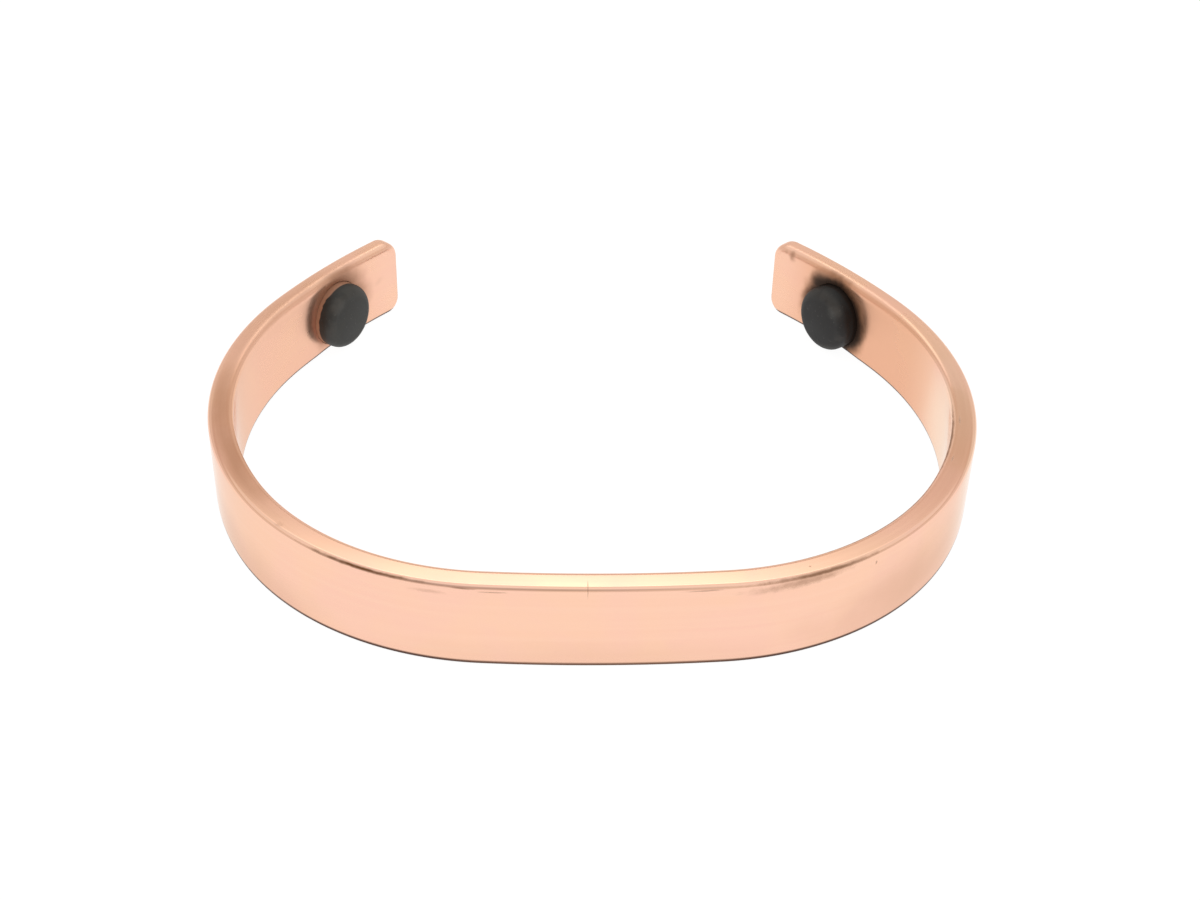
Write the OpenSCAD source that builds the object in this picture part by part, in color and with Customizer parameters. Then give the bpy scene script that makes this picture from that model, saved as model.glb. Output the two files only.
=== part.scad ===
// Magnetic cuff bracelet: a polished copper strip bent into an open oval, with a round magnet
// seated in the inner face of each arm near its tip. The cuff lies on its long edge, so +Z runs
// across the band. Its closed front faces -Y and the gap between its tips faces +Y. The origin
// is the middle of the base of the whole cuff.

/* [Band] */
// Length of the strip before it is bent, from tip to tip along its middle
blank_len = 150; // [125:1:190]
// Width of the band, which is the height of the cuff as it lies
band_w = 7.5; // [7:0.25:12]
// Thickness of the band
band_t = 2.1; // [1.7:0.1:3]
// Rounding of the long edges and of the ends of the tips
edge_r = 0.45; // [0.1:0.05:0.7]
// Rounding of the two corners of each tip
corner_r = 1.2; // [0.8:0.1:2]
// Angle that each arm turns through, from the middle of the front to its tip
arm_turn = 134; // [110:1:140]

/* [Magnets] */
// Diameter of each magnet
magnet_d = 6.1; // [4:0.1:6.2]
// Thickness of each magnet
magnet_h = 2.8; // [2.3:0.1:3.4]
// How far each magnet stands out of the inner face
magnet_proud = 1.8; // [1.4:0.1:2.2]
// Rounding of the front rim of each magnet
magnet_rim_r = 0.9; // [0.1:0.05:1.1]
// Distance along the band from each tip to the middle of its magnet
magnet_inset = 8.5; // [5:0.5:12]
// How far the magnets sit below the middle of the band's width
magnet_drop = 0.4; // [0:0.1:0.5]
// Glue gap round and behind each magnet
seat_gap = 0.05; // [0.02:0.01:0.1]

/* [Hidden] */
$fn = 96;

// The bends of one arm, from the middle of the front to the tip. Each row is one round stretch
// with its share of the arm's length and its share of arm_turn
BENDS = [
    [0.12, 0.03],
    [0.30, 0.42],
    [0.39, 0.445],
    [0.19, 0.105],
];
LENGTH = 0;
TURN = 1;
last = len(BENDS) - 1;

// The last bend runs this far past the tip before it is trimmed to length
spare_len = 1;
// The form that trims a tip stands this far outside the band, so that it cuts cleanly
trim_lap = 0.03;

arm_len = blank_len / 2;
long_edge_r = min(edge_r, 0.4 * band_t);
seat_depth = magnet_h - magnet_proud + seat_gap;
magnet_z = band_w / 2 - magnet_drop;

function direction(angle) = [cos(angle), sin(angle)];
function bend_len(i) = BENDS[i][LENGTH] * arm_len;
function bend_turn(i) = BENDS[i][TURN] * arm_turn;
function bend_radius(i) = bend_len(i) / (bend_turn(i) * PI / 180);

// Heading of the centreline where a bend starts, with 0 along +X
function heading(i) = i == 0 ? 0 : heading(i - 1) + bend_turn(i - 1);
function bend_start(i) = i == 0 ? [0, 0] : bend_point(i - 1, bend_turn(i - 1));
function bend_centre(i) = bend_start(i) + bend_radius(i) * direction(heading(i) + 90);
function bend_point(i, turned) =
    bend_centre(i) + bend_radius(i) * direction(heading(i) + turned - 90);

tip_end = bend_point(last, bend_turn(last));
tip_heading = heading(last) + bend_turn(last);

// The middle of a magnet lies on the last bend, which is this far turned there
magnet_turn = bend_turn(last) * (1 - magnet_inset / bend_len(last));
magnet_heading = heading(last) + magnet_turn;

// The front is the outer face at the middle, and the rearmost points are the rounded outer
// ends of the tips
front_y = -band_t / 2;
rear_y = tip_end.y - long_edge_r * sin(tip_heading)
    - (band_t / 2 + trim_lap - long_edge_r) * cos(tip_heading) + long_edge_r;
middle_y = (front_y + rear_y) / 2;

// Moves in two steps, whole hundredths first, which keeps neighbouring bends exactly together
module moved(v) {
    coarse = [for (c = v) round(100 * c) / 100];
    translate(coarse) translate(v - coarse) children();
}

// Cross section of the band, its thickness along X and its width along Y
module band_section() {
    r = long_edge_r;
    translate([r - band_t / 2, 0]) square([band_t - 2 * r, band_w]);
    translate([-band_t / 2, r]) square([band_t, band_w - 2 * r]);
    for (x = [r - band_t / 2, band_t / 2 - r], y = [r, band_w - r])
        translate([x, y]) circle(r);
}

// One round stretch of the band
module bend(i) {
    centre = bend_centre(i);
    spare = i == last ? spare_len / bend_len(i) * bend_turn(i) : 0;
    moved([centre.x, centre.y, 0])
        rotate_extrude(angle = bend_turn(i) + spare, start = heading(i) - 90)
            moved([bend_radius(i), 0]) band_section();
}

// Half of a tip's outline seen from its edge, with the rounding at its end. Its end is at
// x = corner_r
module tip_outline() {
    half_t = band_t / 2 + trim_lap;
    r = long_edge_r;
    translate([0, -half_t]) square([corner_r - r, 2 * half_t]);
    translate([0, r - half_t]) square([corner_r, 2 * (half_t - r)]);
    for (y = [r - half_t, half_t - r])
        translate([corner_r - r, y]) circle(r);
}

// The form that a tip is trimmed to: a straight end between two rounded corners
module tip_form() {
    low = corner_r - trim_lap;
    high = band_w + trim_lap - corner_r;
    translate([0, 0, low]) linear_extrude(high - low) tip_outline();
    translate([0, 0, high])
        rotate([90, 0, 0]) rotate_extrude(angle = 90) tip_outline();
    translate([0, 0, low])
        mirror([0, 0, 1])
            rotate([90, 0, 0]) rotate_extrude(angle = 90) tip_outline();
}

// All that lies past the rounded end of the right arm
module tip_trim() {
    translate([tip_end.x, tip_end.y, 0])
        rotate([0, 0, tip_heading])
            translate([-corner_r, 0, 0])
                difference() {
                    translate([0, -band_t, -spare_len])
                        cube([corner_r + 2 * spare_len, 2 * band_t, band_w + 2 * spare_len]);
                    tip_form();
                }
}

// The right half of the band, from the middle of the front to its tip
module arm() {
    difference() {
        union() {
            for (i = [0:last]) bend(i);
        }
        tip_trim();
    }
}

// Places what stands on the right arm's inner face, with its axis out of that face
module at_magnet() {
    foot = bend_point(last, magnet_turn) + band_t / 2 * direction(magnet_heading + 90);
    translate([foot.x, foot.y, magnet_z])
        rotate([0, 0, magnet_heading + 90])
            rotate([0, 90, 0]) children();
}

module magnet_seat() {
    at_magnet()
        translate([0, 0, -seat_depth])
            cylinder(h = seat_depth + magnet_proud, r = magnet_d / 2 + seat_gap);
}

// A disc magnet with its back in the seat and a rounded front rim
module magnet() {
    r = magnet_rim_r;
    at_magnet()
        translate([0, 0, seat_gap - seat_depth])
            rotate_extrude() {
                square([magnet_d / 2, magnet_h - r]);
                square([magnet_d / 2 - r, magnet_h]);
                translate([magnet_d / 2 - r, magnet_h - r]) circle(r);
            }
}

module cuff_band() {
    color([0.86, 0.60, 0.47])
        translate([0, -middle_y, 0])
            difference() {
                union() {
                    arm();
                    mirror([1, 0, 0]) arm();
                }
                magnet_seat();
                mirror([1, 0, 0]) magnet_seat();
            }
}

module magnet_right() {
    color([0.20, 0.20, 0.20])
        translate([0, -middle_y, 0]) magnet();
}

module magnet_left() {
    color([0.20, 0.20, 0.20])
        translate([0, -middle_y, 0])
            mirror([1, 0, 0]) magnet();
}

cuff_band();
magnet_left();
magnet_right();
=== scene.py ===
import math

import bpy
from mathutils import Matrix, Vector


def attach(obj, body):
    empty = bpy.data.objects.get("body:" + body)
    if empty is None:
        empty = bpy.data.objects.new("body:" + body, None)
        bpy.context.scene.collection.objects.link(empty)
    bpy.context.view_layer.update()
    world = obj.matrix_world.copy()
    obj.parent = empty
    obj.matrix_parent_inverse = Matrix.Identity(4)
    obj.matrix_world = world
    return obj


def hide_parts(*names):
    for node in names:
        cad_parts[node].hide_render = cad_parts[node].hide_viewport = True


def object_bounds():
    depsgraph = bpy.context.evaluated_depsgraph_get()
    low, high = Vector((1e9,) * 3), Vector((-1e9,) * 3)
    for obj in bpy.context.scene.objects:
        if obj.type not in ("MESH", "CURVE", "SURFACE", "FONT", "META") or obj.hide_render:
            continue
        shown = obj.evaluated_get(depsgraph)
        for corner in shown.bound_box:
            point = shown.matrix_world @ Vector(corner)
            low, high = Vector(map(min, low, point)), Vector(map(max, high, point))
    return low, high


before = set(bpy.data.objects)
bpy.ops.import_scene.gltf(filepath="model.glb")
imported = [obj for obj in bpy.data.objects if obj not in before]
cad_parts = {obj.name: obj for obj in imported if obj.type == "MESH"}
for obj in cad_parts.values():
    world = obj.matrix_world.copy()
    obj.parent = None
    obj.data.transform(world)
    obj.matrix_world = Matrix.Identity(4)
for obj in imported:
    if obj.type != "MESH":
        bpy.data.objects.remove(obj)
cadLow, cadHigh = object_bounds()
mm = 0.001


# Camera at the photograph's angle. Its picture is taken as 1200 x 900

lens = {
    "target": Vector((0.487, -3.827, 3.75)) * mm,
    "distance": 149.64 * mm,
    "height": math.radians(35.664),
    "around": math.radians(-2.647),
    "lean": math.radians(1.488),
    "focal": 53.73,
    "sensor": 36,
    "near": 10 * mm,
    "far": 20,  # metres
}


def startClean():
    if bpy.context.object and bpy.context.object.mode != "OBJECT":
        bpy.ops.object.mode_set(mode="OBJECT")
    bpy.ops.object.select_all(action="DESELECT")


def placeCamera():
    around, height, lean = lens["around"], lens["height"], lens["lean"]
    level = Vector((math.sin(around), -math.cos(around), 0)) * math.cos(height)
    back = level + Vector((0, 0, math.sin(height)))
    across = Vector((0, 0, 1)).cross(back).normalized()
    up = back.cross(across)
    rolledAcross = across * math.cos(lean) + up * math.sin(lean)
    rolledUp = up * math.cos(lean) - across * math.sin(lean)
    bpy.ops.object.camera_add()
    camera = bpy.context.object
    camera.name = "photoCamera"
    turn = Matrix((rolledAcross, rolledUp, back)).transposed().to_4x4()
    camera.matrix_world = Matrix.Translation(lens["target"] + back * lens["distance"]) @ turn
    camera.data.sensor_width = lens["sensor"]
    camera.data.lens = lens["focal"]
    camera.data.clip_start = lens["near"]
    camera.data.clip_end = lens["far"]
    bpy.context.scene.camera = camera


startClean()
placeCamera()
print("camera placed")


# Helpers for modelling in edit mode

def makeActive(piece):
    startClean()
    piece.select_set(True)
    bpy.context.view_layer.objects.active = piece


def pickNothing(piece, kind):
    makeActive(piece)
    bpy.ops.object.mode_set(mode="EDIT")
    bpy.ops.mesh.select_mode(type=kind)
    bpy.ops.mesh.select_all(action="DESELECT")
    bpy.ops.object.mode_set(mode="OBJECT")


def pickEdges(piece, wanted):
    # Selects the edges for which wanted(start, end) is true and stays in edit mode
    pickNothing(piece, "EDGE")
    corners = piece.data.vertices
    for edge in piece.data.edges:
        start, end = (corners[i].co for i in edge.vertices)
        edge.select = wanted(start, end)
    bpy.ops.object.mode_set(mode="EDIT")


def pickFaces(piece, wanted):
    pickNothing(piece, "FACE")
    for face in piece.data.polygons:
        face.select = wanted(face)
    bpy.ops.object.mode_set(mode="EDIT")


def sliceAcross(piece, axis, first, last, parts):
    # Cuts the whole mesh across one axis at even steps from first to last
    makeActive(piece)
    bpy.ops.object.mode_set(mode="EDIT")
    for i in range(parts + 1):
        bpy.ops.mesh.select_all(action="SELECT")
        bpy.ops.mesh.bisect(plane_co=axis * (first + (last - first) * i / parts), plane_no=axis)
    bpy.ops.object.mode_set(mode="OBJECT")


def applyModifiers(piece):
    makeActive(piece)
    for modifier in list(piece.modifiers):
        bpy.ops.object.modifier_apply(modifier=modifier.name)


def applyPlace(piece):
    makeActive(piece)
    bpy.ops.object.transform_apply(location=True, rotation=True, scale=True)


def remember(piece, name, offset):
    # Keeps each point's place before it is bent or moved, so that the finish follows the piece
    kept = piece.data.attributes.new(name, "FLOAT_VECTOR", "POINT")
    for i, corner in enumerate(piece.data.vertices):
        kept.data[i].vector = corner.co - offset


def softShade(piece, angle):
    makeActive(piece)
    bpy.ops.object.shade_smooth_by_angle(angle=math.radians(angle))
    weighted = piece.modifiers.new("faceNormals", "WEIGHTED_NORMAL")
    weighted.keep_sharp = True
    applyModifiers(piece)


def makeCap(radius, height, name, rimRound, rimSteps, dome, rings, sides):
    # A disc on Z = 0 with a rounded rim, whose top rises in a low dome from the rim to the middle
    startClean()
    side = height - dome
    bpy.ops.mesh.primitive_cylinder_add(vertices=sides, radius=radius, depth=side, location=(0, 0, side / 2))
    cap = bpy.context.object
    cap.name = name
    applyPlace(cap)
    nearTop = side * 0.9
    if rimRound:
        pickEdges(cap, lambda start, end: min(start.z, end.z) > nearTop)
        bpy.ops.mesh.bevel(offset=rimRound, segments=rimSteps, profile=0.5)
    flatRadius = radius - rimRound
    pickFaces(cap, lambda face: face.normal.z > 0.9995 and face.center.z > nearTop)
    for i in range(1, rings + 1):
        rise = dome * ((1 - (i - 1) / rings) ** 2 - (1 - i / rings) ** 2)
        if i < rings:
            bpy.ops.mesh.inset(thickness=flatRadius / rings)
            bpy.ops.transform.translate(value=(0, 0, rise))
        else:
            bpy.ops.mesh.poke(offset=rise)
    bpy.ops.object.mode_set(mode="OBJECT")
    return cap


# The copper band. Its bends are the part's: share of the arm's length and share of its turn,
# from the middle of the front to the tip

strip = {
    "length": 150 * mm,
    "width": 7.5 * mm,
    "thick": 2.1 * mm,
    "armTurn": math.radians(134),
    "bends": [(0.12, 0.03), (0.30, 0.42), (0.39, 0.445), (0.19, 0.105)],
    "cornerRound": 1.5 * mm,
    "cornerSteps": 10,
    "edgeRound": 0.45 * mm,
    "wornEdgeRound": 0.85 * mm,  # at the tips, where the edges are worn rounder
    "edgeSquare": 0.60,
    "edgeSteps": 10,
    "sliceLength": 0.4 * mm,
    "faceRows": 18,
    "wornFrom": 34 * mm,
    "wornTo": 62 * mm,
    "guidePoints": 601,
    "touching": 0.01 * mm,  # points nearer than this share a place
    "smoothAngle": 35,
}

# Both button magnets, and what differs between them
magnet = {
    "rimRound": 0.9 * mm,
    "rimSteps": 10,
    "dome": 0.16 * mm,
    "domeRings": 8,
    "sides": 96,
    "smoothAngle": 35,
}
leftMagnet = {
    "side": -1,
    "radius": 3.05 * mm,
    "drop": 0.4 * mm,  # below the middle of the band
    "height": 2.8 * mm,
    "proud": 1.8 * mm,
    "face": (0.026, 0.026, 0.024, 1),
    "cloudy": (0.037, 0.037, 0.034, 1),
    # The left foot's brown is a painted reflection of the copper on the magnet's side
    "footColor": (0.420, 0.220, 0.140, 1),
    "scuff": (-1.6, 2.1, 2.8),
}
rightMagnet = {
    "side": 1,
    "radius": 3.05 * mm,
    "drop": 0.55 * mm,
    "height": 3.0 * mm,
    "proud": 2.0 * mm,
    "face": (0.011, 0.010, 0.010, 1),
    "cloudy": (0.018, 0.018, 0.018, 1),
    "footColor": (0.016, 0.011, 0.009, 1),
    "scuff": (1.7, 1.7, 3.0),
}

# Their seats. Each is a round pocket in a shallow dish
seat = {
    "inset": 8.5 * mm,
    "gap": 0.07 * mm,
    "depth": 1.05 * mm,
    "dishRadius": 4.8 * mm,
    "dishDepth": 0.32 * mm,
    "dishCurve": 1.5,  # higher is softer at the dish's rim
    "reach": 2 * mm,
    "sides": 96,
}


def planPoint(along):
    # Place and inward direction on the band's middle line, at a distance from the front's middle.
    # Negative distances are on the left arm
    side = -1 if along < 0 else 1
    left = abs(along)
    armLength = strip["length"] / 2
    place = Vector((0, cadLow.y + strip["thick"] / 2, 0))
    heading = 0
    for i, (lengthShare, turnShare) in enumerate(strip["bends"]):
        length = lengthShare * armLength
        turn = turnShare * strip["armTurn"]
        radius = length / turn
        share = left / length
        if i < len(strip["bends"]) - 1:
            share = min(1, share)
        centre = place + radius * Vector((-math.sin(heading), math.cos(heading), 0))
        heading += turn * share
        place = centre + radius * Vector((math.sin(heading), -math.cos(heading), 0))
        left -= length
        if left <= 0:
            break
    inward = Vector((-side * math.sin(heading), math.cos(heading), 0))
    return Vector((side * place.x, place.y, 0)), inward


def modelStrip():
    # The strip is modelled flat along +X from X = 0, with its inner face towards +Y
    length, width, thick = strip["length"], strip["width"], strip["thick"]
    startClean()
    bpy.ops.mesh.primitive_cube_add(size=1, location=(length / 2, 0, width / 2), scale=(length, thick, width))
    piece = bpy.context.object
    piece.name = "copper_band"
    applyPlace(piece)

    # The corners of the tips are the short edges through the thickness
    pickEdges(piece, lambda start, end: abs(start.y - end.y) > thick / 2)
    bpy.ops.mesh.bevel(offset=strip["cornerRound"], segments=strip["cornerSteps"], profile=0.5)

    clear = strip["cornerRound"]
    slices = round((length - 2 * clear) / strip["sliceLength"])
    sliceAcross(piece, Vector((1, 0, 0)), clear, length - clear, slices)
    roundEdges(piece)
    sliceAcross(piece, Vector((0, 0, 1)), clear, width - clear, strip["faceRows"])
    return piece


def roundEdges(piece):
    # Rounds all edges between the broad faces and the rim, more and more towards the tips
    half, touching, corners = strip["length"] / 2, strip["touching"], piece.data.vertices
    weights = piece.data.attributes.new("bevel_weight_edge", "FLOAT", "EDGE")
    for edge in piece.data.edges:
        start, end = (corners[i].co for i in edge.vertices)
        lengthwise = abs(start.x - end.x) > touching
        atTip = min(abs(start.x - half), abs(end.x - half)) > half - touching
        if abs(start.y - end.y) > strip["thick"] / 4 or not (lengthwise or atTip):
            continue
        along = abs((start.x + end.x) / 2 - half)
        share = max(0, min(1, (along - strip["wornFrom"]) / (strip["wornTo"] - strip["wornFrom"])))
        reach = strip["edgeRound"] + (strip["wornEdgeRound"] - strip["edgeRound"]) * share
        weights.data[edge.index].value = reach / strip["wornEdgeRound"]
    bevel = piece.modifiers.new("edges", "BEVEL")
    bevel.limit_method = "WEIGHT"
    bevel.width = strip["wornEdgeRound"]
    bevel.segments = strip["edgeSteps"]
    bevel.profile = strip["edgeSquare"]
    applyModifiers(piece)


def cutAway(piece, cutter):
    cut = piece.modifiers.new("cut", "BOOLEAN")
    cut.operation = "DIFFERENCE"
    cut.solver = "EXACT"
    cut.object = cutter
    applyModifiers(piece)
    bpy.data.objects.remove(cutter)


def seatMiddle(button):
    # Where the seat's axis meets the middle plane of the flat strip
    along = strip["length"] / 2 + button["side"] * (strip["length"] / 2 - seat["inset"])
    return Vector((along, 0, strip["width"] / 2 - button["drop"]))


def pressDishes(piece):
    # Presses the inner face in round both seats, deepest in the middle
    pressed = piece.vertex_groups.new(name="pressed")
    innerFace = strip["thick"] / 2
    for i, corner in enumerate(piece.data.vertices):
        for button in (leftMagnet, rightMagnet):
            away = corner.co - seatMiddle(button)
            share = 1 - (away.x ** 2 + away.z ** 2) / seat["dishRadius"] ** 2
            if share > 0 and away.y > 0:
                pressed.add([i], share ** seat["dishCurve"] * away.y / innerFace, "REPLACE")
    press = piece.modifiers.new("press", "DISPLACE")
    press.direction = "Y"
    press.mid_level = 0
    press.strength = -seat["dishDepth"]
    press.vertex_group = "pressed"
    applyModifiers(piece)


def cutSeat(piece, button):
    # The cutter stands in front of the flat strip's inner face and points into it
    cutter = makeCap(button["radius"] + seat["gap"], seat["reach"] + seat["depth"], "seatCutter",
                     rimRound=0, rimSteps=0, dome=0, rings=1, sides=seat["sides"])
    cutter.rotation_euler.x = math.radians(90)
    cutter.location = seatMiddle(button) + Vector((0, strip["thick"] / 2 + seat["reach"], 0))
    applyPlace(cutter)
    cutAway(piece, cutter)


def bendStrip(piece):
    # A guide line along the band's middle, which the strip is wrapped on
    startClean()
    bpy.ops.curve.primitive_nurbs_path_add()
    guide = bpy.context.object
    guide.data.splines.clear()
    guide.data.dimensions = "2D"
    line = guide.data.splines.new("POLY")
    last = strip["guidePoints"] - 1
    line.points.add(last)
    for i in range(strip["guidePoints"]):
        line.points[i].co = (*planPoint(strip["length"] * (i / last - 0.5))[0], 1)
    bend = piece.modifiers.new("bend", "CURVE")
    bend.object = guide
    bend.deform_axis = "POS_X"
    applyModifiers(piece)
    bpy.data.objects.remove(guide)


band = modelStrip()
pressDishes(band)
for button in (leftMagnet, rightMagnet):
    cutSeat(band, button)
remember(band, "flatPlace", Vector((strip["length"] / 2, 0, 0)))
bendStrip(band)
softShade(band, strip["smoothAngle"])
print("band modelled:", len(band.data.polygons), "faces")


# The button magnets, which stand in the seats

def modelButton(button, name):
    piece = makeCap(button["radius"], button["height"], name, magnet["rimRound"], magnet["rimSteps"],
                    magnet["dome"], magnet["domeRings"], magnet["sides"])
    remember(piece, "ownPlace", Vector((0, 0, 0)))
    foot, inward = planPoint(button["side"] * (strip["length"] / 2 - seat["inset"]))
    face = foot + inward * strip["thick"] / 2
    face.z = strip["width"] / 2 - button["drop"]
    piece.rotation_euler = inward.to_track_quat("Z", "Y").to_euler()
    piece.location = face + inward * (button["proud"] - button["height"])
    applyPlace(piece)
    softShade(piece, magnet["smoothAngle"])
    return piece


leftButton = modelButton(leftMagnet, "magnet_button_left")
rightButton = modelButton(rightMagnet, "magnet_button_right")
print("magnets modelled:", len(leftButton.data.polygons), "faces each")


# Helpers for the materials

def feed(tree, socket, value):
    if isinstance(value, bpy.types.NodeSocket):
        tree.links.new(value, socket)
    else:
        socket.default_value = value


def addNode(tree, kind, **settings):
    # A setting with a capital first is a socket, the others are properties
    node = tree.nodes.new(kind)
    for name, value in settings.items():
        if name[0].islower():
            setattr(node, name, value)
    for name, value in settings.items():
        if name[0].isupper():
            feed(tree, node.inputs[name.replace("_", " ")], value)
    return node


def doMath(tree, operation, *values):
    node = addNode(tree, "ShaderNodeMath", operation=operation)
    for i, value in enumerate(values):
        feed(tree, node.inputs[i], value)
    return node.outputs[0]


def doVector(tree, operation, *values):
    node = addNode(tree, "ShaderNodeVectorMath", operation=operation)
    for i, value in enumerate(values):
        feed(tree, node.inputs["Scale"] if operation == "SCALE" and i == 1 else node.inputs[i], value)
    scalar = operation in ("LENGTH", "DOT_PRODUCT")
    return node.outputs["Value" if scalar else "Vector"]


def blend(tree, factor, first, second):
    node = addNode(tree, "ShaderNodeMix", data_type="RGBA")
    feed(tree, node.inputs[0], factor)
    feed(tree, node.inputs[6], first)
    feed(tree, node.inputs[7], second)
    return node.outputs[2]


def ease(tree, value, fromMin, fromMax, toMin=0.0, toMax=1.0):
    node = addNode(tree, "ShaderNodeMapRange", interpolation_type="SMOOTHSTEP", Value=value,
                   From_Min=fromMin, From_Max=fromMax, To_Min=toMin, To_Max=toMax)
    return node.outputs[0]


def newGroup(name, inputs, outputs):
    tree = bpy.data.node_groups.new(name, "ShaderNodeTree")
    for label, kind, value in inputs:
        socket = tree.interface.new_socket(label, in_out="INPUT", socket_type="NodeSocket" + kind)
        if value is not None:
            socket.default_value = value
    for label, kind in outputs:
        tree.interface.new_socket(label, in_out="OUTPUT", socket_type="NodeSocket" + kind)
    return tree, tree.nodes.new("NodeGroupInput").outputs, tree.nodes.new("NodeGroupOutput").inputs


def useGroup(tree, group, **settings):
    return addNode(tree, "ShaderNodeGroup", node_tree=group, **settings).outputs


def newMaterial(name):
    material = bpy.data.materials.new(name)
    material.use_nodes = True
    return material, material.node_tree, material.node_tree.nodes["Principled BSDF"]


def wear(piece, material):
    piece.data.materials.clear()
    piece.data.materials.append(material)


# Groups that both finishes use. Every place is in millimetres

def makeSpotGroup():
    # A ragged spot, smear or scratch: 1 inside its core, 0 past its half sizes
    tree, given, result = newGroup("spot", [
        ("Place", "Vector", None),
        ("Centre", "Vector", None),
        ("Half Sizes", "Vector", (1, 1, 1)),
        ("Turn", "Vector", None),
        ("Ragged", "Float", 0.2),
        ("Ragged Scale", "Float", 2.0),
        ("Core", "Float", 0.2),
    ], [("Mask", "Float")])
    noise = addNode(tree, "ShaderNodeTexNoise", Vector=given["Place"], Scale=given["Ragged Scale"],
                    Detail=3.0)
    swing = doVector(tree, "SUBTRACT", noise.outputs["Color"], (0.5, 0.5, 0.5))
    local = addNode(tree, "ShaderNodeMapping", vector_type="TEXTURE", Vector=given["Place"],
                    Location=given["Centre"], Rotation=given["Turn"], Scale=given["Half Sizes"])
    moved = doVector(tree, "ADD", local.outputs[0], doVector(tree, "SCALE", swing, given["Ragged"]))
    feed(tree, result["Mask"], ease(tree, doVector(tree, "LENGTH", moved), 1.0, given["Core"]))
    return tree


def makeGrainGroup():
    # Fine lines along the first axis, as brushing or pressing leaves them
    tree, given, result = newGroup("grain", [
        ("Place", "Vector", None),
        ("Line Length", "Float", 6.0),
        ("Line Width", "Float", 0.05),
    ], [("Height", "Float"), ("Tone", "Float")])
    lengthwise = doMath(tree, "DIVIDE", 1.0, given["Line Length"])
    crosswise = doMath(tree, "DIVIDE", 1.0, given["Line Width"])
    spacing = addNode(tree, "ShaderNodeCombineXYZ", X=lengthwise, Y=crosswise, Z=crosswise)
    stretched = doVector(tree, "MULTIPLY", given["Place"], spacing.outputs[0])
    fine = addNode(tree, "ShaderNodeTexNoise", Vector=stretched, Scale=1.0, Detail=4.0, Roughness=0.65)
    coarse = addNode(tree, "ShaderNodeTexNoise", Vector=stretched, Scale=0.22, Detail=2.0)
    feed(tree, result["Height"], fine.outputs[0])
    feed(tree, result["Tone"], ease(tree, coarse.outputs[0], 0.35, 0.68))
    return tree


def makeHandlingGroup():
    # Cloudy marks of handling in patches of the given size, and specks that are nine times finer
    tree, given, result = newGroup("handling", [
        ("Place", "Vector", None),
        ("Patch Size", "Float", 6.0),
    ], [("Clouds", "Float"), ("Specks", "Float")])
    scale = doMath(tree, "DIVIDE", 1.0, given["Patch Size"])
    small = doMath(tree, "MULTIPLY", scale, 9.0)
    clouds = addNode(tree, "ShaderNodeTexNoise", Vector=given["Place"], Scale=scale,
                     Detail=3.0, Distortion=0.6)
    specks = addNode(tree, "ShaderNodeTexNoise", Vector=given["Place"], Scale=small,
                     Detail=2.0, Roughness=0.4)
    feed(tree, result["Clouds"], ease(tree, clouds.outputs[0], 0.35, 0.65))
    feed(tree, result["Specks"], ease(tree, specks.outputs[0], 0.66, 0.74))
    return tree


spotGroup = makeSpotGroup()
grainGroup = makeGrainGroup()
handlingGroup = makeHandlingGroup()


def keptPlace(tree, name):
    # The place that a piece remembers, in millimetres
    kept = addNode(tree, "ShaderNodeAttribute", attribute_name=name)
    return doVector(tree, "SCALE", kept.outputs["Vector"], 1 / mm)


# Polished copper. Marks are placed on the flat strip in millimetres: along it from the front's
# middle, through it from the outer face (-1.05) to the inner one (1.05), and up from its lower rim

copper = {
    "metal": (0.945, 0.590, 0.428, 1),
    "pinkMetal": (0.940, 0.575, 0.445, 1),
    "paleMetal": (0.955, 0.620, 0.465, 1),
    "darkerMetal": (0.700, 0.410, 0.280, 1),
    "innerMetal": (0.800, 0.425, 0.262, 1),
    "lighterMetal": (0.985, 0.760, 0.600, 1),
    "glancing": (0.935, 0.870, 0.810, 1),
    "edgeBrown": (0.060, 0.018, 0.012, 1),
    # The tarnish brown is also used for painted shade on the lower edges, in the dishes and in some marks
    "tarnishAndShade": (0.190, 0.076, 0.025, 1),
    "nearBlack": (0.020, 0.013, 0.010, 1),
    "paleShare": 0.35,
    "nearBlackShare": 0.9,
    "roughness": 0.09,
    "cloudRoughness": 0.04,
    "grainRoughness": 0.03,
    "tarnishRoughness": 0.40,
    "stainAndShadeMetallic": 0.50,
    "cloudSize": 7.0,
    "grainLength": 7.0,
    "grainWidth": 0.07,
    "grainDepth": 0.0001 * mm,
    "waveSize": 9.0,
    "waveDepth": 0.006 * mm,
}

# How the copper changes along, through or up the strip: from, to, and the share at either place
changes = {
    "redLeftArm": (-26.0, -36.0, 0.0, 0.85),
    "paleLeftEnd": (-42.0, -52.0, 0.0, 0.50),
    "redRightArm": (46.0, 56.0, 0.0, 0.80),
    "innerFace": (0.4, 1.0, 0.0, 1.0),
    "paleTips": (74.0, 68.0, 0.2, 1.0),
    # These two are painted shade along the lower edges, where the band meets the floor
    "lowEdgeShade": (0.50, 0.22, 0.0, 0.95),
    "shadow": (0.52, 0.33, 0.0, 1.0),
    "shadowShare": (4.0, 14.0, 0.60, 0.96),
    "roughTips": (40.0, 60.0, 0.0, 0.16),
}

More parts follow.
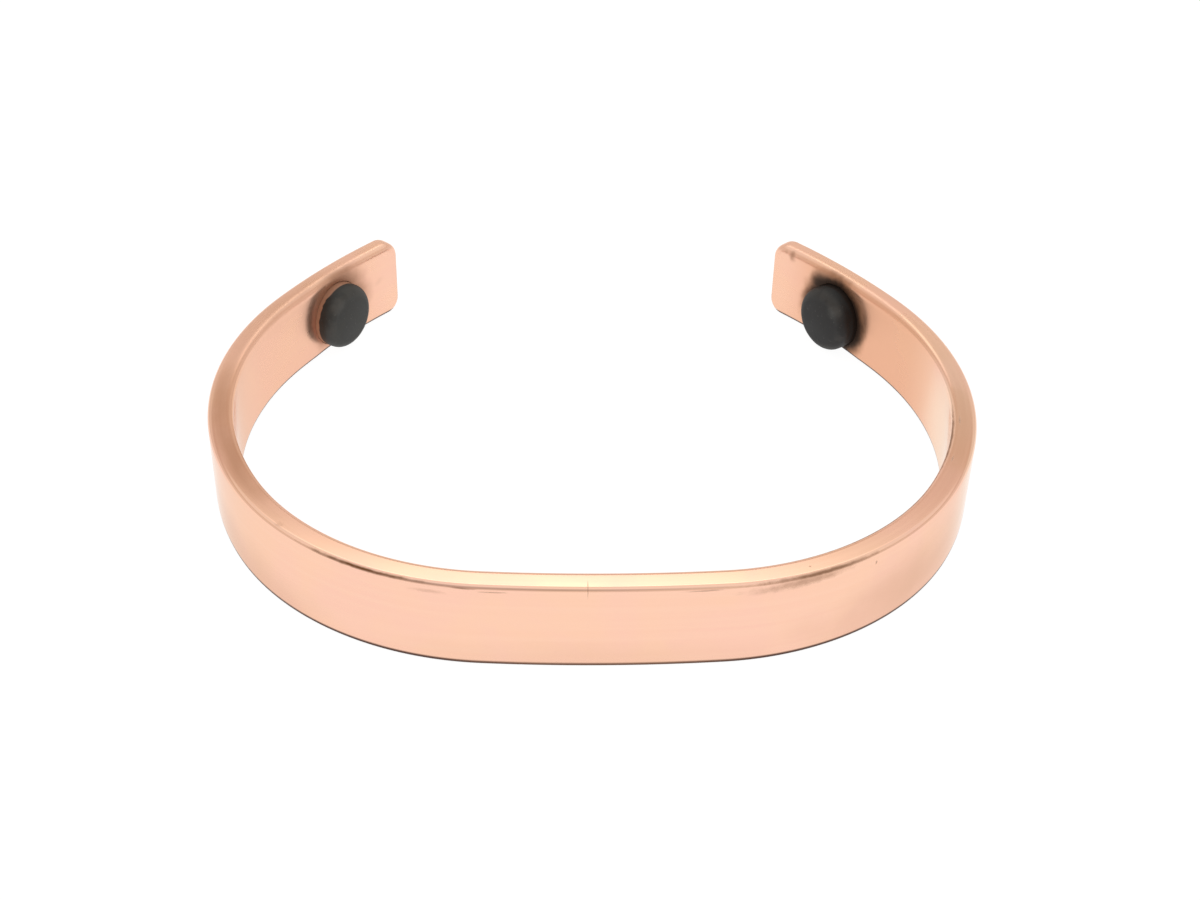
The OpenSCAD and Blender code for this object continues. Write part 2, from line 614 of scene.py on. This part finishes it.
# Each mark has a centre, half sizes, a turn about the thickness in degrees, and a strength
marks = {
    "rimScratch": ((-1.15, -0.75, 7.25), (0.06, 1.00, 0.85), 0, 0.45),
    "edgeLineLeft": ((-17.5, -0.94, 7.40), (6.50, 0.22, 0.20), 0, 1.00),
    "edgeLineRight": ((16.2, -0.94, 7.38), (6.60, 0.28, 0.26), 0, 0.80),
    "edgeStreakLeft": ((-10.2, -0.98, 7.30), (1.30, 0.30, 0.10), 1, 0.60),
    "edgeStreakMiddle": ((-8.0, -1.00, 7.10), (1.60, 0.30, 0.10), 0, 0.45),
    "edgeStreakRight": ((7.4, -1.00, 7.20), (2.00, 0.30, 0.10), -1, 0.45),
    "edgeSmearRight": ((14.5, -0.95, 7.00), (5.50, 0.60, 0.60), -3, 0.48),
    "faceSmearLeft": ((-12.6, -1.05, 6.75), (1.80, 0.30, 0.25), 0, 0.22),
    "faceSpeckRight": ((20.7, -1.05, 6.55), (0.14, 0.30, 0.26), 0, 0.50),
    "rimSpeckRight": ((15.4, -0.10, 7.50), (0.14, 0.12, 0.30), 0, 0.45),
    "rimSmudgeLeft": ((-25.6, -0.55, 7.45), (0.60, 0.40, 0.40), 0, 0.22),
    "rimMarkRight": ((40.6, 0.40, 7.45), (0.90, 0.14, 0.40), 0, 0.50),
    "rimMarkRightLow": ((35.0, 0.40, 7.45), (0.60, 0.14, 0.40), 0, 0.45),
    # The next two marks are a painted dark reflection along the rim's inner edge, laid over its highlight
    "innerEdgeShadeFront": ((21.0, 0.92, 7.38), (15.0, 0.15, 0.28), 0, 0.90),
    "innerEdgeShadeRight": ((37.5, 0.92, 7.38), (7.50, 0.18, 0.28), 0, 0.75),
    # The next mark is painted shade for a dent at the right tip, which the band's shape doesn't have
    "tipDentShade": ((72.5, 0.95, 6.90), (0.60, 0.45, 0.70), 0, 0.50),
    "tipSpeck": ((73.3, 0.95, 7.05), (0.30, 0.45, 0.30), 0, 0.18),
    "aboveRightMagnet": ((66.2, 1.00, 6.90), (3.20, 0.60, 0.90), 0, 0.40),
    "tipSmearLeft": ((-72.2, 1.05, 4.20), (0.90, 0.30, 0.45), 20, 0.08),
}

# Darker patches, laid out in the same way. Those on the left arm's rim are painted shade, a darker reflection
# there; those low on the outer face darken it towards the bottom
darkerPatches = {
    "lowOnTheRight": ((25.0, -1.05, 2.40), (13.0, 1.50, 5.00), -6, 0.65),
    "lowOnTheLeft": ((-31.0, -1.05, 1.20), (14.0, 1.50, 3.80), 5, 0.55),
    "lowInFront": ((0.0, -1.05, 0.60), (22.0, 1.50, 2.60), 0, 0.22),
    "rimOfTheLeftArm": ((-60.0, 0.10, 7.50), (14.0, 1.30, 1.00), 0, 0.64),
    "rimFarLeft": ((-43.0, 0.10, 7.50), (11.0, 1.40, 1.20), 0, 0.62),
    "rimNearLeft": ((-35.0, 0.10, 7.50), (12.0, 1.40, 1.20), 0, 0.85),
}

# Lighter patches, laid out in the same way. The one on the right arm's rim is a painted reflection, brighter
# there; the others lighten the right arm inside and out
lighterPatches = {
    "insideTheRightArm": ((44.5, 1.05, 3.00), (8.00, 0.70, 7.00), 0, 0.80),
    "farRight": ((37.0, -1.05, 4.50), (6.50, 0.70, 6.00), 0, 0.60),
    "rimOfTheRightArm": ((44.0, 0.10, 7.50), (16.0, 1.20, 0.80), 0, 0.35),
}

# Brown in the dishes, partly tarnish and partly painted shade and a painted reflection of the dark magnet,
# and near-black round the right magnet, each shifted from the middle of a magnet's seat
leftDishTarnishAndShade = {
    "shift": (-0.3, 0, 0.6),
    "halfSizes": (4.9, 1.2, 5.2),
    "ragged": 0.25,
    "raggedScale": 0.5,
    "core": 0.52,
    "strength": 0.62,
}
rightDishTarnishAndShade = {
    "shift": (0, 0, 0.2),
    "halfSizes": (5.0, 1.2, 5.0),
    "ragged": 0.3,
    "raggedScale": 0.6,
    "core": 0.66,
    "strength": 0.72,
}
roundBlack = {
    "shift": (0, 0, 0),
    "halfSizes": (4.5, 1.2, 4.2),
    "ragged": 0.3,
    "raggedScale": 0.7,
    "core": 0.74,
    "strength": 1.0,
}
cornerBlack = {
    "shift": (1.6, 0, 2.2),
    "halfSizes": (2.4, 1.2, 1.9),
    "ragged": 0.3,
    "raggedScale": 0.6,
    "core": 0.4,
    "strength": 1.0,
}


def roundSeatPatch(tree, place, button, seatPatch):
    # A patch on the inner face, placed from the middle of a magnet's seat: the brown in the dishes, which is
    # partly painted shade and reflection, and the near-black round the right magnet
    seatPlace = seatMiddle(button) + Vector((-strip["length"] / 2, strip["thick"] / 2, 0))
    spot = useGroup(tree, spotGroup, Place=place, Centre=seatPlace / mm + Vector(seatPatch["shift"]),
                    Half_Sizes=seatPatch["halfSizes"], Ragged=seatPatch["ragged"],
                    Ragged_Scale=seatPatch["raggedScale"], Core=seatPatch["core"])
    return doMath(tree, "MULTIPLY", spot["Mask"], seatPatch["strength"])


def coverWith(tree, place, patches, ragged, raggedScale, core):
    # How much each point is covered by the patches, from 0 to 1
    cover = 0.0
    for centre, halfSizes, turn, strength in patches.values():
        spot = useGroup(tree, spotGroup, Place=place, Centre=centre, Half_Sizes=halfSizes,
                        Turn=(0, math.radians(turn), 0), Ragged=ragged, Ragged_Scale=raggedScale, Core=core)
        cover = doMath(tree, "MAXIMUM", cover, doMath(tree, "MULTIPLY", spot["Mask"], strength))
    return cover


def polishedCopper():
    material, tree, shader = newMaterial("polishedCopper")
    place = keptPlace(tree, "flatPlace")
    handling = useGroup(tree, handlingGroup, Place=place, Patch_Size=copper["cloudSize"])
    grain = useGroup(tree, grainGroup, Place=place, Line_Length=copper["grainLength"],
                     Line_Width=copper["grainWidth"])

    color = blend(tree, handling["Clouds"], copper["metal"], copper["pinkMetal"])
    pale = doMath(tree, "MULTIPLY", grain["Tone"], copper["paleShare"])
    color = blend(tree, pale, color, copper["paleMetal"])

    # The inside has gone redder than the outside in both arms, apart from the ends
    along, through, height = addNode(tree, "ShaderNodeSeparateXYZ", Vector=place).outputs
    fromFront = doMath(tree, "ABSOLUTE", along)
    leftArm = doMath(tree, "SUBTRACT", ease(tree, along, *changes["redLeftArm"]),
                     ease(tree, along, *changes["paleLeftEnd"]))
    arms = doMath(tree, "MAXIMUM", leftArm, ease(tree, along, *changes["redRightArm"]))
    inside = doMath(tree, "MULTIPLY", ease(tree, through, *changes["innerFace"]),
                    ease(tree, fromFront, *changes["paleTips"]))
    color = blend(tree, doMath(tree, "MULTIPLY", inside, arms), color, copper["innerMetal"])

    # Lighter and darker patches: on the rims of the arms they are a painted reflection, brighter on the right
    # and darker on the left
    lighter = coverWith(tree, place, lighterPatches, ragged=0.3, raggedScale=0.2, core=0.2)
    color = blend(tree, lighter, color, copper["lighterMetal"])
    darker = coverWith(tree, place, darkerPatches, ragged=0.6, raggedScale=0.22, core=0.0)
    color = blend(tree, darker, color, copper["darkerMetal"])

    # The marks, painted shade along the lower edges where the band meets the floor, and the brown in the
    # dishes, all in the tarnish brown
    dirtAndShade = coverWith(tree, place, marks, ragged=0.7, raggedScale=1.6, core=0.1)
    dirtAndShade = doMath(tree, "MAXIMUM", dirtAndShade, ease(tree, height, *changes["lowEdgeShade"]))
    dirtAndShade = doMath(tree, "MAXIMUM", dirtAndShade, roundSeatPatch(tree, place, leftMagnet, leftDishTarnishAndShade))
    dirtAndShade = doMath(tree, "MAXIMUM", dirtAndShade, roundSeatPatch(tree, place, rightMagnet, rightDishTarnishAndShade))
    color = blend(tree, dirtAndShade, color, copper["tarnishAndShade"])

    # Painted shadow under the lower edges, and near-black round the right magnet
    shadow = doMath(tree, "MULTIPLY", ease(tree, height, *changes["shadow"]),
                    ease(tree, fromFront, *changes["shadowShare"]))
    color = blend(tree, shadow, color, copper["edgeBrown"])
    nearBlack = doMath(tree, "MAXIMUM", roundSeatPatch(tree, place, rightMagnet, roundBlack),
                  roundSeatPatch(tree, place, rightMagnet, cornerBlack))
    blackened = doMath(tree, "MULTIPLY", nearBlack, copper["nearBlackShare"])
    color = blend(tree, blackened, color, copper["nearBlack"])
    feed(tree, shader.inputs["Base Color"], color)
    shader.inputs["Specular Tint"].default_value = copper["glancing"]

    # Stained places and painted shade are less of a metal, so that they stay brown
    dirtyAndShaded = doMath(tree, "MAXIMUM", dirtAndShade, nearBlack)
    stainedAndShaded = doMath(tree, "MAXIMUM", dirtyAndShaded, shadow)
    feed(tree, shader.inputs["Metallic"], ease(tree, stainedAndShaded, 0.0, 1.0, 1.0, copper["stainAndShadeMetallic"]))

    # Clouds, brushing, the tips, all dirt, the painted shade in the marks, the lower edges and the dishes,
    # and the near-black round the right magnet are rougher
    roughness = doMath(tree, "MULTIPLY_ADD", handling["Clouds"], copper["cloudRoughness"],
                       copper["roughness"])
    roughness = doMath(tree, "MULTIPLY_ADD", grain["Tone"], copper["grainRoughness"], roughness)
    roughness = doMath(tree, "ADD", roughness, ease(tree, fromFront, *changes["roughTips"]))
    roughness = doMath(tree, "MULTIPLY_ADD", dirtyAndShaded, copper["tarnishRoughness"], roughness)
    feed(tree, shader.inputs["Roughness"], roughness)

    # Slow waves from bending by hand, then the brushing
    waves = addNode(tree, "ShaderNodeTexNoise", Vector=place, Scale=1 / copper["waveSize"], Detail=1.0)
    wavy = addNode(tree, "ShaderNodeBump", Height=waves.outputs[0], Distance=copper["waveDepth"])
    brushed = addNode(tree, "ShaderNodeBump", Height=grain["Height"], Distance=copper["grainDepth"],
                      Normal=wavy.outputs[0])
    feed(tree, shader.inputs["Normal"], brushed.outputs[0])
    return material


wear(band, polishedCopper())
print("copper finished")


# Matt black magnets

ferrite = {
    "wornRim": (0.085, 0.078, 0.070, 1),
    "wornShare": 0.35,
    "wornRise": 0.6,  # millimetres above the wall
    "wornFrom": (1.9, 2.7),  # millimetres from the axis
    "dust": (0.110, 0.108, 0.100, 1),
    "speckShare": 0.25,
    "scuffShare": 0.40,
    "scuffHalfSizes": (1.1, 0.9, 1.0),
    "scuffTurn": 0.6,
    "collarHeight": 0.34,  # millimetres above the band
    "collarFade": 0.15,
    "collarSwing": 0.2,
    "collarShine": 0.2,
    "roughness": 0.52,
    "cloudRoughness": 0.12,
    "gloss": 0.35,
    "cloudSize": 2.2,
    "grainLength": 0.16,
    "grainWidth": 0.12,
    "grainDepth": 0.006 * mm,
}


def blackFerrite(name, button):
    material, tree, shader = newMaterial(name)
    place = keptPlace(tree, "ownPlace")
    handling = useGroup(tree, handlingGroup, Place=place, Patch_Size=ferrite["cloudSize"])
    grain = useGroup(tree, grainGroup, Place=place, Line_Length=ferrite["grainLength"],
                     Line_Width=ferrite["grainWidth"])
    color = blend(tree, handling["Clouds"], button["face"], button["cloudy"])

    # The rim is rubbed paler where the wall turns into the face
    across, upright, depth = addNode(tree, "ShaderNodeSeparateXYZ", Vector=place).outputs
    flatSpan = addNode(tree, "ShaderNodeCombineXYZ", X=across, Y=upright)
    fromAxis = doVector(tree, "LENGTH", flatSpan.outputs[0])
    wallTop = (button["height"] - magnet["dome"] - magnet["rimRound"]) / mm
    shoulder = doMath(tree, "MULTIPLY", ease(tree, depth, wallTop, wallTop + ferrite["wornRise"]),
                      ease(tree, fromAxis, *ferrite["wornFrom"]))
    worn = doMath(tree, "MULTIPLY", handling["Clouds"], ferrite["wornShare"])
    color = blend(tree, doMath(tree, "MULTIPLY", shoulder, worn), color, ferrite["wornRim"])

    # Dust in specks, and a pale scuff on the face
    specks = doMath(tree, "MULTIPLY", handling["Specks"], ferrite["speckShare"])
    color = blend(tree, specks, color, ferrite["dust"])
    scuff = useGroup(tree, spotGroup, Place=place, Centre=button["scuff"],
                     Half_Sizes=ferrite["scuffHalfSizes"], Turn=(0, 0, ferrite["scuffTurn"]),
                     Ragged=0.8, Ragged_Scale=1.2, Core=0.1)
    scuffed = doMath(tree, "MULTIPLY", scuff["Mask"], ferrite["scuffShare"])
    color = blend(tree, scuffed, color, ferrite["dust"])

    # A collar round the foot, a little glossier, in the magnet's foot colour: on the left magnet a painted
    # reflection of the copper, on the right near black
    uneven = doMath(tree, "MULTIPLY_ADD", handling["Clouds"], -ferrite["collarSwing"], depth)
    collarTop = (button["height"] - button["proud"]) / mm + ferrite["collarHeight"]
    footCollar = ease(tree, uneven, collarTop, collarTop - ferrite["collarFade"])
    color = blend(tree, footCollar, color, button["footColor"])
    feed(tree, shader.inputs["Base Color"], color)

    roughness = doMath(tree, "MULTIPLY_ADD", handling["Clouds"], ferrite["cloudRoughness"],
                       ferrite["roughness"])
    roughness = doMath(tree, "MULTIPLY_ADD", footCollar, -ferrite["collarShine"], roughness)
    feed(tree, shader.inputs["Roughness"], roughness)
    shader.inputs["Specular IOR Level"].default_value = ferrite["gloss"]
    pressed = addNode(tree, "ShaderNodeBump", Height=grain["Height"], Distance=ferrite["grainDepth"])
    feed(tree, shader.inputs["Normal"], pressed.outputs[0])
    return material


wear(leftButton, blackFerrite("blackFerriteLeft", leftMagnet))
wear(rightButton, blackFerrite("blackFerriteRight", rightMagnet))
print("magnets finished")

for piece, node, slot in (
    (band, "cuff_band", "copper"),
    (leftButton, "magnet_left", "magnet"),
    (rightButton, "magnet_right", "magnet"),
):
    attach(piece, "root")
    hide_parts(node)


# Plain floor that glows a little, as a light table does

floorLook = {
    "size": 3,
    "shade": (0.12, 0.12, 0.12, 1),
    "roughness": 0.9,
    "glow": 0.96,
}


def layFloor():
    startClean()
    bpy.ops.mesh.primitive_plane_add(size=floorLook["size"])
    floor = bpy.context.object
    floor.name = "paleFloor"
    material, _, shader = newMaterial("paleTable")
    shader.inputs["Base Color"].default_value = floorLook["shade"]
    shader.inputs["Roughness"].default_value = floorLook["roughness"]
    shader.inputs["Specular IOR Level"].default_value = 0
    shader.inputs["Emission Color"].default_value = (1, 1, 1, 1)
    shader.inputs["Emission Strength"].default_value = floorLook["glow"]
    wear(floor, material)


# The studio is a light tent. Each ring of it is given by its height in degrees, its tint and its
# brightness: pale walls, a warm gap where the walls end, and the roof with a soft lamp behind it

tent = {
    "rings": [
        (0, (1.00, 0.98, 0.95), 0.80),
        (29, (1.00, 0.94, 0.88), 0.84),
        (32, (1.00, 0.90, 0.80), 0.68),
        (34.5, (1.00, 0.82, 0.69), 0.635),
        (36, (1.00, 0.84, 0.73), 0.67),
        (37.5, (1.00, 0.95, 0.88), 0.90),
        (39.2, (1.00, 0.99, 0.96), 0.92),
        (62, (1.00, 1.00, 0.98), 0.95),
        (90, (1.00, 1.00, 1.00), 0.95),
    ],
    "lampAround": math.radians(1),
    "lampHeight": math.radians(42.5),
    "lampHalfSizes": (0.27, 1, 0.085),
    "lampCore": 0.35,
    "lampColor": (1.00, 1.00, 0.90),
    "lampStrength": 1.08,
    "openingAround": math.radians(-152),
    "openingHeight": math.radians(50),
    "openingEdge": (math.radians(38), math.radians(15)),
    "openingShade": 0.38,
}


def aim(around, height):
    # Direction at an angle from straight behind and a height above the floor
    level = Vector((math.sin(around), math.cos(around), 0)) * math.cos(height)
    return level + Vector((0, 0, math.sin(height)))


def lightTent():
    world = bpy.data.worlds.new("lightTent")
    bpy.context.scene.world = world
    world.use_nodes = True
    tree = world.node_tree
    where = addNode(tree, "ShaderNodeTexCoord").outputs["Generated"]
    split = addNode(tree, "ShaderNodeSeparateXYZ", Vector=where)
    rings = addNode(tree, "ShaderNodeValToRGB", Fac=split.outputs["Z"])
    ramp = rings.color_ramp
    for i, (height, tint, bright) in enumerate(tent["rings"]):
        place = math.sin(math.radians(height))
        stop = ramp.elements[0] if i == 0 else ramp.elements.new(place)
        stop.position = place
        stop.color = [shade * bright for shade in tint] + [1]
    ramp.elements.remove(ramp.elements[-1])

    # The lamp behind the tent's roof
    across = addNode(tree, "ShaderNodeMapping", vector_type="TEXTURE", Vector=where,
                     Location=aim(tent["lampAround"], tent["lampHeight"]), Scale=tent["lampHalfSizes"],
                     Rotation=(tent["lampHeight"], 0, -tent["lampAround"])).outputs[0]
    lamp = ease(tree, doVector(tree, "LENGTH", across), 1.0, tent["lampCore"], 0.0, tent["lampStrength"])
    lit = doVector(tree, "ADD", rings.outputs["Color"], doVector(tree, "SCALE", tent["lampColor"], lamp))

    # The tent's opening, in front on the left and above the camera
    facing = doVector(tree, "DOT_PRODUCT", where, aim(tent["openingAround"], tent["openingHeight"]))
    outer, inner = tent["openingEdge"]
    opening = ease(tree, facing, math.cos(outer), math.cos(inner), 1.0, 1 - tent["openingShade"])
    background = tree.nodes["Background"]
    feed(tree, background.inputs["Color"], doVector(tree, "SCALE", lit, opening))
    background.inputs["Strength"].default_value = 1


layFloor()
lightTent()
bpy.context.scene.view_settings.view_transform = "Standard"
print("studio lit")
